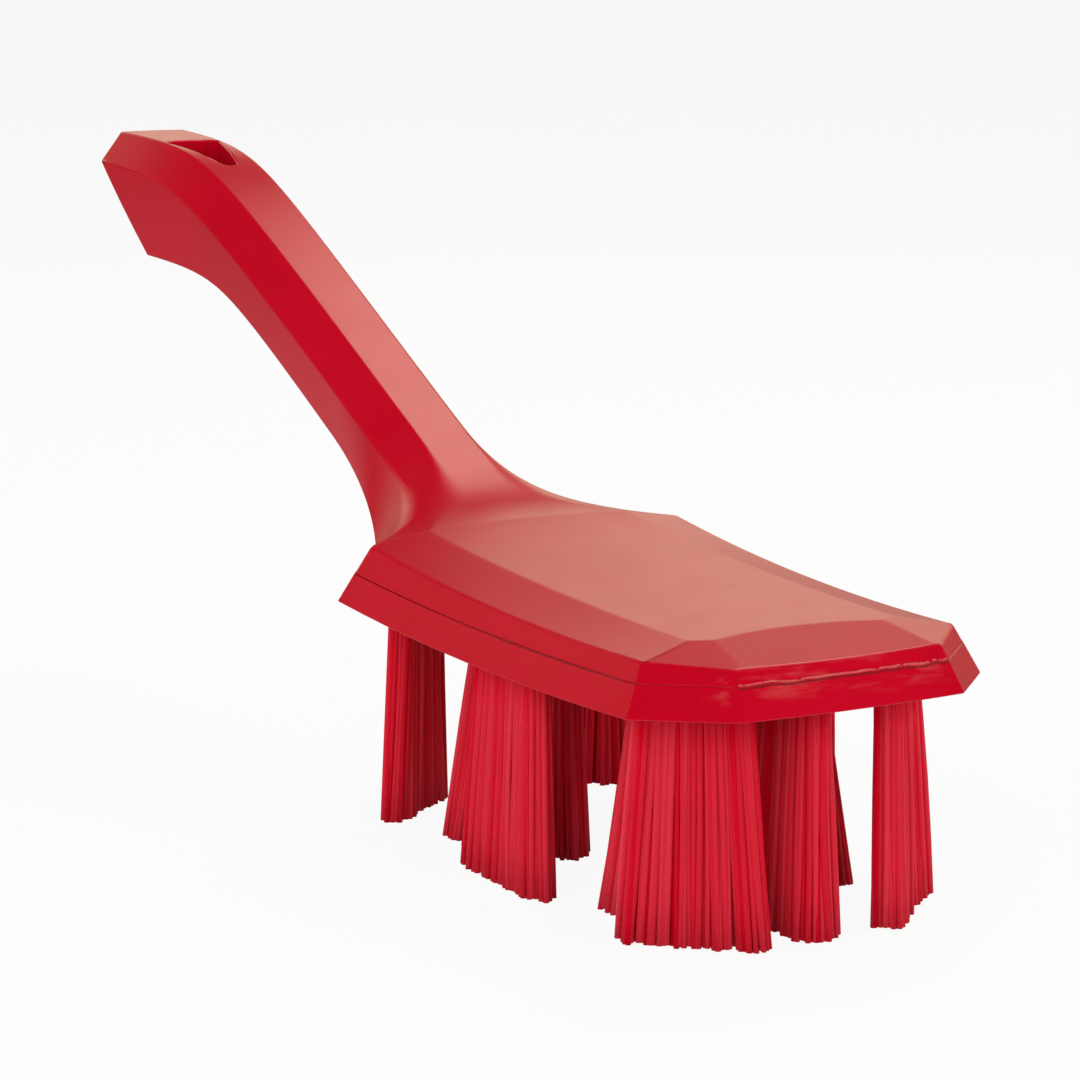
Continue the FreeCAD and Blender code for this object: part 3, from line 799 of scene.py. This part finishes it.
def on_lower_rim(edge):
    """True for the outer edge round the plate's underside."""
    ends = [v.co / MM for v in edge.verts]
    low = all(c.z < underside(c.x) + LOW_BAND for c in ends)
    halves = [block_half(EDGE_LINES["base"], max(c.x, WALL_FROM)) for c in ends]
    outer = all(abs(c.y) > half - RIM_BAND or c.x > CORNERS_FROM for c, half in zip(ends, halves))
    return low and outer


lower_edges = round_edges(shape, LOWER_ROUND, on_lower_rim)
plate_edges = round_edges(shape, SEAM_ROUND, lambda edge: not on_lower_rim(edge))
plate = finished_piece("welded_plate", shape, moulded, "bristle_plate")
plate.modifiers.new("flat_facets", "WEIGHTED_NORMAL")
print("plate:", lower_edges, "lower edges,", plate_edges, "others,", len(plate.data.polygons), "faces")


# %% [markdown]
# ## One strand
# A strand is an eight-sided rod, cut across at a few heights so that it can bend. It is made once, one unit
# long and hanging down from its root, and every filament of the brush is a copy with its own root, tip and
# bow.

# %% Strand blank
STRAND_RADIUS = 0.50 * MM
STRAND_SIDES = 8
STRAND_LENGTHS = 4
blank = bmesh.new()
bmesh.ops.create_cone(
    blank, cap_ends=True, cap_tris=False, segments=STRAND_SIDES, depth=1,
    radius1=STRAND_RADIUS, radius2=STRAND_RADIUS,
)
bmesh.ops.translate(blank, vec=(0, 0, -0.5), verts=blank.verts)
for cut in range(1, STRAND_LENGTHS):
    whole = blank.verts[:] + blank.edges[:] + blank.faces[:]
    bmesh.ops.bisect_plane(blank, geom=whole, plane_co=(0, 0, -cut / STRAND_LENGTHS), plane_no=(0, 0, 1))
strand_blank = bpy.data.meshes.new("strand_blank")
blank.to_mesh(strand_blank)
blank.free()
print("strand blank:", len(strand_blank.polygons), "faces")


# %% [markdown]
# ## Tufts
# A tuft leaves its slot in the plate as a packed bundle and flares towards its cut tips. The solid model's
# tuft gives both outlines: its lowest ring of corners is the tips' outline and its highest is the slot's.
# The strands stand on a close grid over the slot, and each tip lies at the same share of the tips' outline.

# %% Read a tuft's two outlines
RING_WITHIN = 0.01 * MM


def outline(points):
    """Middle, long direction, half length and half width of a ring of corners."""
    middle = sum((p for p in points), Vector((0, 0))) / len(points)
    offsets = [p - middle for p in points]
    xx = sum(o.x * o.x for o in offsets)
    yy = sum(o.y * o.y for o in offsets)
    xy = sum(o.x * o.y for o in offsets)
    turn = 0.5 * math.atan2(2 * xy, xx - yy)
    along = Vector((math.cos(turn), math.sin(turn)))
    aside = Vector((-along.y, along.x))
    return middle, along, max(o.dot(along) for o in offsets), max(o.dot(aside) for o in offsets)


def tuft_rings(node):
    """The tips' outline, the slot's outline and the slot's height."""
    corners = [v.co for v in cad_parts[node].data.vertices]
    lowest = min(c.z for c in corners)
    highest = max(c.z for c in corners)
    tips = {c.xy.copy().freeze() for c in corners if c.z < lowest + RING_WITHIN}
    slot = {c.xy.copy().freeze() for c in corners if c.z > highest - RING_WITHIN}
    return outline(tips), outline(slot), highest


for name in ("tuft_front_right", "tuft_middle_right"):
    tips, slot, height = tuft_rings(name)
    halves = [round(size / MM, 1) for size in tips[2:] + slot[2:]]
    print(name, "half sizes of tips and slot:", halves, "slot at", round(height / MM, 1), "mm")

# %% [markdown]
# The slots are packed full: rows of places stand half a place apart, as coins pack on a table. Hair
# particles could stand there too, but these strands are few and thick, and as meshes they bend, shade and
# export like any piece.

# %% Places and strands
PITCH = 0.55 * MM
ROW_SHARE = 0.866


def slot_places(half_length, half_width):
    """Close-packed places in a slot with round ends, stretched until the end strands touch its ends."""
    rows = int(half_width / (PITCH * ROW_SHARE)) + 1
    columns = int(half_length / PITCH) + 1
    inside = half_width - STRAND_RADIUS
    places = []
    for row in range(-rows, rows + 1):
        for column in range(-columns, columns + 1):
            a = (column + 0.5 * (row % 2)) * PITCH
            b = row * PITCH * ROW_SHARE
            past = max(abs(a) - (half_length - half_width), 0)
            if math.hypot(past, b) <= inside:
                places.append((a, b))
    stretch = (half_length - STRAND_RADIUS) / max(a for a, b in places)
    return [(a * stretch, b) for a, b in places]


def add_strand(bundle, tone_and_sheen_layer, root, tip, bow, stoutness, tone):
    """Adds one strand to a bundle, bowed between its root and its tip."""
    first = len(bundle.verts)
    bundle.from_mesh(strand_blank)
    bundle.verts.ensure_lookup_table()
    for vert in bundle.verts[first:]:
        down = -vert.co.z
        ring = Vector((vert.co.x, vert.co.y, 0)) * stoutness
        vert.co = root.lerp(tip, down) + bow * math.sin(math.pi * down) + ring
        vert[tone_and_sheen_layer] = tone


print("places in a slot of 12 by 4 mm:", len(slot_places(6 * MM, 2 * MM)))

# %% [markdown]
# Most bundles follow their solids, apart from a small lean of some tips. The centre bundle runs back along
# the middle and the side bundles reach further forward than their solids. Their strands start just inside
# the plate, because part of them has no slot above. All other strands start higher up in their slots.

# %% Outlines of a bundle
LONG_TUFT = "tuft_front_centre"
LONG_FRONT, LONG_REAR = 118.2 * MM, 106.2 * MM
SIDE_TUFTS = ("tuft_side_left", "tuft_side_right")
SIDE_ROOT, SIDE_TIPS = 1.2 * MM, 1.4 * MM
IN_SLOT, IN_PLATE = 3 * MM, 0.2 * MM
LEANS = {
    "tuft_front_left": (0.2, 1.4),
    "tuft_front_right": (0.0, 0.25),
    "tuft_side_left": (-1.4, 0.0),
    "tuft_side_right": (-1.4, 0.0),
    "tuft_rear_right": (-0.4, -0.6),
    "tuft_inner_rear_right": (-0.6, -0.5),
    "tuft_inner_front_left": (0.4, 0.8),
}


def bundle_outlines(name):
    """The tips' and the slot's outline, the slot's height and how far inside the strands start."""
    (tip_middle, along, tip_length, tip_width), (middle, _, length, width), height = tuft_rings(name)
    inside = IN_SLOT
    if name == LONG_TUFT:
        along = Vector((1, 0))
        middle = tip_middle = Vector(((LONG_FRONT + LONG_REAR) / 2, 0))
        flare = tip_width - width
        length = width + (LONG_FRONT - LONG_REAR) / 2
        tip_length = length + flare
        inside = IN_PLATE
    elif name in SIDE_TUFTS:
        along = Vector((1, 0))
        middle = middle + along * SIDE_ROOT
        length += SIDE_ROOT
        tip_length += SIDE_TIPS
        inside = IN_PLATE
    return along, (tip_middle, tip_length, tip_width), (middle, length, width), height, inside


print("centre bundle:", round((LONG_FRONT - LONG_REAR) / MM, 1), "mm between the middles of its round ends")

# %% [markdown]
# No two strands are alike. Each root and tip is off its place by a little, and a few tips stray far.
# Neighbours keep together: a noise over the floor draws their tips into clumps, which stand a little higher
# or lower and are a little paler or darker. The paler red is partly a painted highlight. The seed is fixed,
# so the bundles are the same each time.

# %% Grow the tufts
chance = random.Random(12)
FOOT_JITTER = 0.1 * MM
TIP_JITTER, STRAY_JITTER, STRAY_SHARE = 0.18 * MM, 0.8 * MM, 0.015
CLUMP_SCALE = 500
DRIFT_SCALE, DRIFT = 300, 0.5
LIFT, CLUMP_LIFT, LIFT_JITTER, LEAST_LIFT = 0.35, 0.35, 0.25, 0.02 * MM
BOW = 0.16
# How far each strand leans to the paler red: partly its own tone, partly a painted highlight.
TONE, CLUMP_TONE, TONE_JITTER = 0.42, 0.45, 0.25
THINNEST, STOUTEST = 0.75, 1.12


def drift_at(end):
    """How far the clumping draws a tip from its place."""
    sideways = [noise.noise(Vector((end.x, end.y, layer)) * DRIFT_SCALE) for layer in (1, 2)]
    return Vector(sideways) * DRIFT * MM


def grow_tuft(name):
    """A bundle of strands that stands for one tuft."""
    along, tips, slot, height, inside = bundle_outlines(name)
    tip_middle, tip_length, tip_width = tips
    middle, length, width = slot
    aside = Vector((-along.y, along.x))
    lean = Vector(LEANS.get(name, (0, 0))) * MM
    bundle = bmesh.new()
    tone_and_sheen_layer = bundle.verts.layers.float.new("strand_tone_and_sheen")
    for a, b in slot_places(length, width):
        foot = middle + along * (a + chance.gauss(0, FOOT_JITTER))
        foot += aside * (b + chance.gauss(0, FOOT_JITTER))
        jitter = STRAY_JITTER if chance.random() < STRAY_SHARE else TIP_JITTER
        out = along * (a * tip_length / length + chance.gauss(0, jitter))
        out += aside * (b * tip_width / width + chance.gauss(0, jitter))
        end = tip_middle + out + lean
        clump = noise.noise(Vector((end.x, end.y, 0)) * CLUMP_SCALE)
        end += drift_at(end)
        lift = (LIFT + CLUMP_LIFT * clump + chance.uniform(-LIFT_JITTER, LIFT_JITTER)) * MM
        root = Vector((foot.x, foot.y, min(height, underside(foot.x / MM) * MM + inside)))
        tip = Vector((end.x, end.y, max(lift, LEAST_LIFT)))
        bow = Vector((chance.gauss(0, BOW), chance.gauss(0, BOW), 0)) * MM
        tone = min(max(TONE + CLUMP_TONE * clump + chance.gauss(0, TONE_JITTER), 0), 1)
        add_strand(bundle, tone_and_sheen_layer, root, tip, bow, chance.uniform(THINNEST, STOUTEST), tone)
    bmesh.ops.recalc_face_normals(bundle, faces=bundle.faces)
    return finished_piece(name.replace("tuft", "bundle"), bundle, filament, name)


tufts = [grow_tuft(name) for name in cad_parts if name.startswith("tuft_")]
strands = sum(len(tuft.data.polygons) for tuft in tufts) // len(strand_blank.polygons)
print("tufts:", len(tufts), "with", strands, "strands")


# %% [markdown]
# ## Floor
# The brush stands on a plain white floor. To the camera nearly all of the floor's white is its own glow,
# and a thin share of it takes the light, so that the brush keeps a soft shadow. In the brush's sheen the
# floor shows as a pale table top that fades into a dim room, because a sheen of endless white would wash
# out the red.

# %% Floor
FLOOR_HALF, FLOOR_DROP = 6, 0.1 * MM
floor_shape = bmesh.new()
bmesh.ops.create_grid(floor_shape, x_segments=1, y_segments=1, size=FLOOR_HALF)
bmesh.ops.translate(floor_shape, vec=(0, 0, -FLOOR_DROP), verts=floor_shape.verts)
floor_mesh = bpy.data.meshes.new("floor")
floor_shape.to_mesh(floor_mesh)
floor_shape.free()
floor = bpy.data.objects.new("floor", floor_mesh)
bpy.context.collection.objects.link(floor)
print("floor at", floor_mesh.vertices[0].co.z)

# %% Floor finish
FLOOR_WHITE, ROOM_GREY = (0.9, 0.9, 0.9), (0.04, 0.04, 0.04)
TABLE_NEAR, TABLE_FAR = 0.22, 0.42
TABLE_SHARE, TABLE_REST = 0.35, 0.10
TABLE_FADES, TABLE_ENDS = 0.5, 0.8
GLOW_SHARE = 0.93
white, shader, add, link = start_finish("white_floor")
shader.inputs["Roughness"].default_value = 0.8
shader.inputs["Specular IOR Level"].default_value = 0
from_brush = add("VectorMath", operation="LENGTH")
link(add("TexCoord").outputs["Object"], from_brush.inputs[0])
distance = from_brush.outputs["Value"]
table_top = spread(add, link, distance, TABLE_NEAR, TABLE_FAR, TABLE_SHARE, TABLE_REST)
table_edge = spread(add, link, distance, TABLE_FADES, TABLE_ENDS, 1, 0)
table_top = sums(add, link, "MULTIPLY", table_top, table_edge)
seen = add("LightPath")
past_table = sums(add, link, "SUBTRACT", 1, table_top)
dim_room = sums(add, link, "MULTIPLY", seen.outputs["Is Glossy Ray"], past_table)
link(two_tones(add, link, dim_room, FLOOR_WHITE, ROOM_GREY), shader.inputs["Base Color"])
seen_white = sums(add, link, "MULTIPLY", seen.outputs["Is Glossy Ray"], table_top)
seen_white = sums(add, link, "MAXIMUM", seen_white, seen.outputs["Is Camera Ray"])
seen_white = sums(add, link, "MAXIMUM", seen_white, seen.outputs["Is Transmission Ray"])
glow = add("Emission")
glow.inputs["Strength"].default_value = 1
share = add("MixShader")
link(sums(add, link, "MULTIPLY", seen_white, GLOW_SHARE), share.inputs["Fac"])
link(shader.outputs["BSDF"], share.inputs[1])
link(glow.outputs["Emission"], share.inputs[2])
link(share.outputs["Shader"], white.node_tree.nodes["Material Output"].inputs["Surface"])
white.cycles.emission_sampling = "NONE"
floor_mesh.materials.append(white)
print("floor finish:", len(white.node_tree.nodes), "nodes")


# %% [markdown]
# ## Room
# The room round the brush is dim, so that the lamps give it form. Only the wall that the camera faces is
# bright: a warm band some way above the floor, which the upward faces mirror as a long pale sheen. The
# world's background can be worked out from the direction of view, so no wall has to be built.

# %% Room
WALL_FACING = (-0.906, 0.42, 0)
WALL_EDGE, WALL_FULL = 0.5, 0.95
RISE_FROM, RISE_TO, FOOT_LIGHT = 0.08, 0.3, 0.2
FALL_FROM, FALL_TO, BAND_LIGHT, HEAD_LIGHT = 0.26, 0.44, 2.3, 0.03
ROOM_LIGHT = 0.03
WARM = (1, 0.96, 0.72, 1)
room = bpy.data.worlds.new("room")
bpy.context.scene.world = room
room.use_nodes = True
room.cycles.sampling_method = "NONE"
room_nodes = room.node_tree.nodes
room_links = room.node_tree.links.new


def add_to_room(kind, **settings):
    """Adds a node to the room's light."""
    made = room_nodes.new("ShaderNode" + kind)
    for setting, value in settings.items():
        setattr(made, setting, value)
    return made


direction = add_to_room("TexCoord").outputs["Generated"]
facing = add_to_room("VectorMath", operation="DOT_PRODUCT")
facing.inputs[1].default_value = WALL_FACING
room_links(direction, facing.inputs[0])
split = add_to_room("SeparateXYZ")
room_links(direction, split.inputs["Vector"])
upward = split.outputs["Z"]
back_wall = spread(add_to_room, room_links, facing.outputs["Value"], WALL_EDGE, WALL_FULL, 0, 1)
rising = spread(add_to_room, room_links, upward, RISE_FROM, RISE_TO, FOOT_LIGHT, 1)
falling = spread(add_to_room, room_links, upward, FALL_FROM, FALL_TO, BAND_LIGHT, HEAD_LIGHT)
band = sums(add_to_room, room_links, "MULTIPLY", rising, falling)
wall = sums(add_to_room, room_links, "MULTIPLY", band, back_wall)
strength = sums(add_to_room, room_links, "ADD", wall, ROOM_LIGHT)
room_links(strength, room_nodes["Background"].inputs["Strength"])
room_nodes["Background"].inputs["Color"].default_value = WARM
print("room:", len(room_nodes), "nodes")


# %% [markdown]
# ## Lamps
# Broad soft lamps stand in front, at both sides and above, and light the facets to different degrees. They
# don't show in the sheen. The one softbox that does stands behind and, with the wall, lays the long pale
# sheen on the upward faces. Each lamp has its direction from the brush, its distance, its width, its
# radiance and whether the sheen shows it.

# %% Lamps
LAMPS = {
    "key": ((0.50, -0.75, 0.40), 1.3, 1.1, 2.0, False),
    "front": ((0.90, -0.20, 0.18), 1.5, 1.1, 0.95, False),
    "fill": ((0.70, 0.68, 0.25), 1.3, 1.0, 2.6, False),
    "right": ((-0.45, -0.88, 0.10), 1.3, 1.1, 1.8, False),
    "above": ((0.10, -0.10, 1.00), 1.2, 1.2, 0.85, False),
    "behind": ((-0.32, 0.46, 0.83), 1.0, 0.43, 5.2, True),
}
LAMPS_FACE = Vector((0.02, 0, 0.05))
SOFTBOX_WARM = (1, 0.97, 0.80)


def softbox(name, direction, away, width, radiance, in_reflections):
    """A square soft lamp that faces the brush; its radiance is what a mirror would show."""
    lamp = bpy.data.lights.new(name, "AREA")
    lamp.shape = "SQUARE"
    lamp.size = width
    lamp.energy = radiance * math.pi * width * width
    box = bpy.data.objects.new(name, lamp)
    towards = Vector(direction).normalized()
    box.location = LAMPS_FACE + towards * away
    box.rotation_euler = towards.to_track_quat("Z", "Y").to_euler()
    box.visible_glossy = in_reflections
    lamp.cycles.use_multiple_importance_sampling = in_reflections
    bpy.context.collection.objects.link(box)
    return box


lamps = {name: softbox(name, *settings) for name, settings in LAMPS.items()}
lamps["behind"].data.color = SOFTBOX_WARM
print("lamps:", ", ".join(lamps))
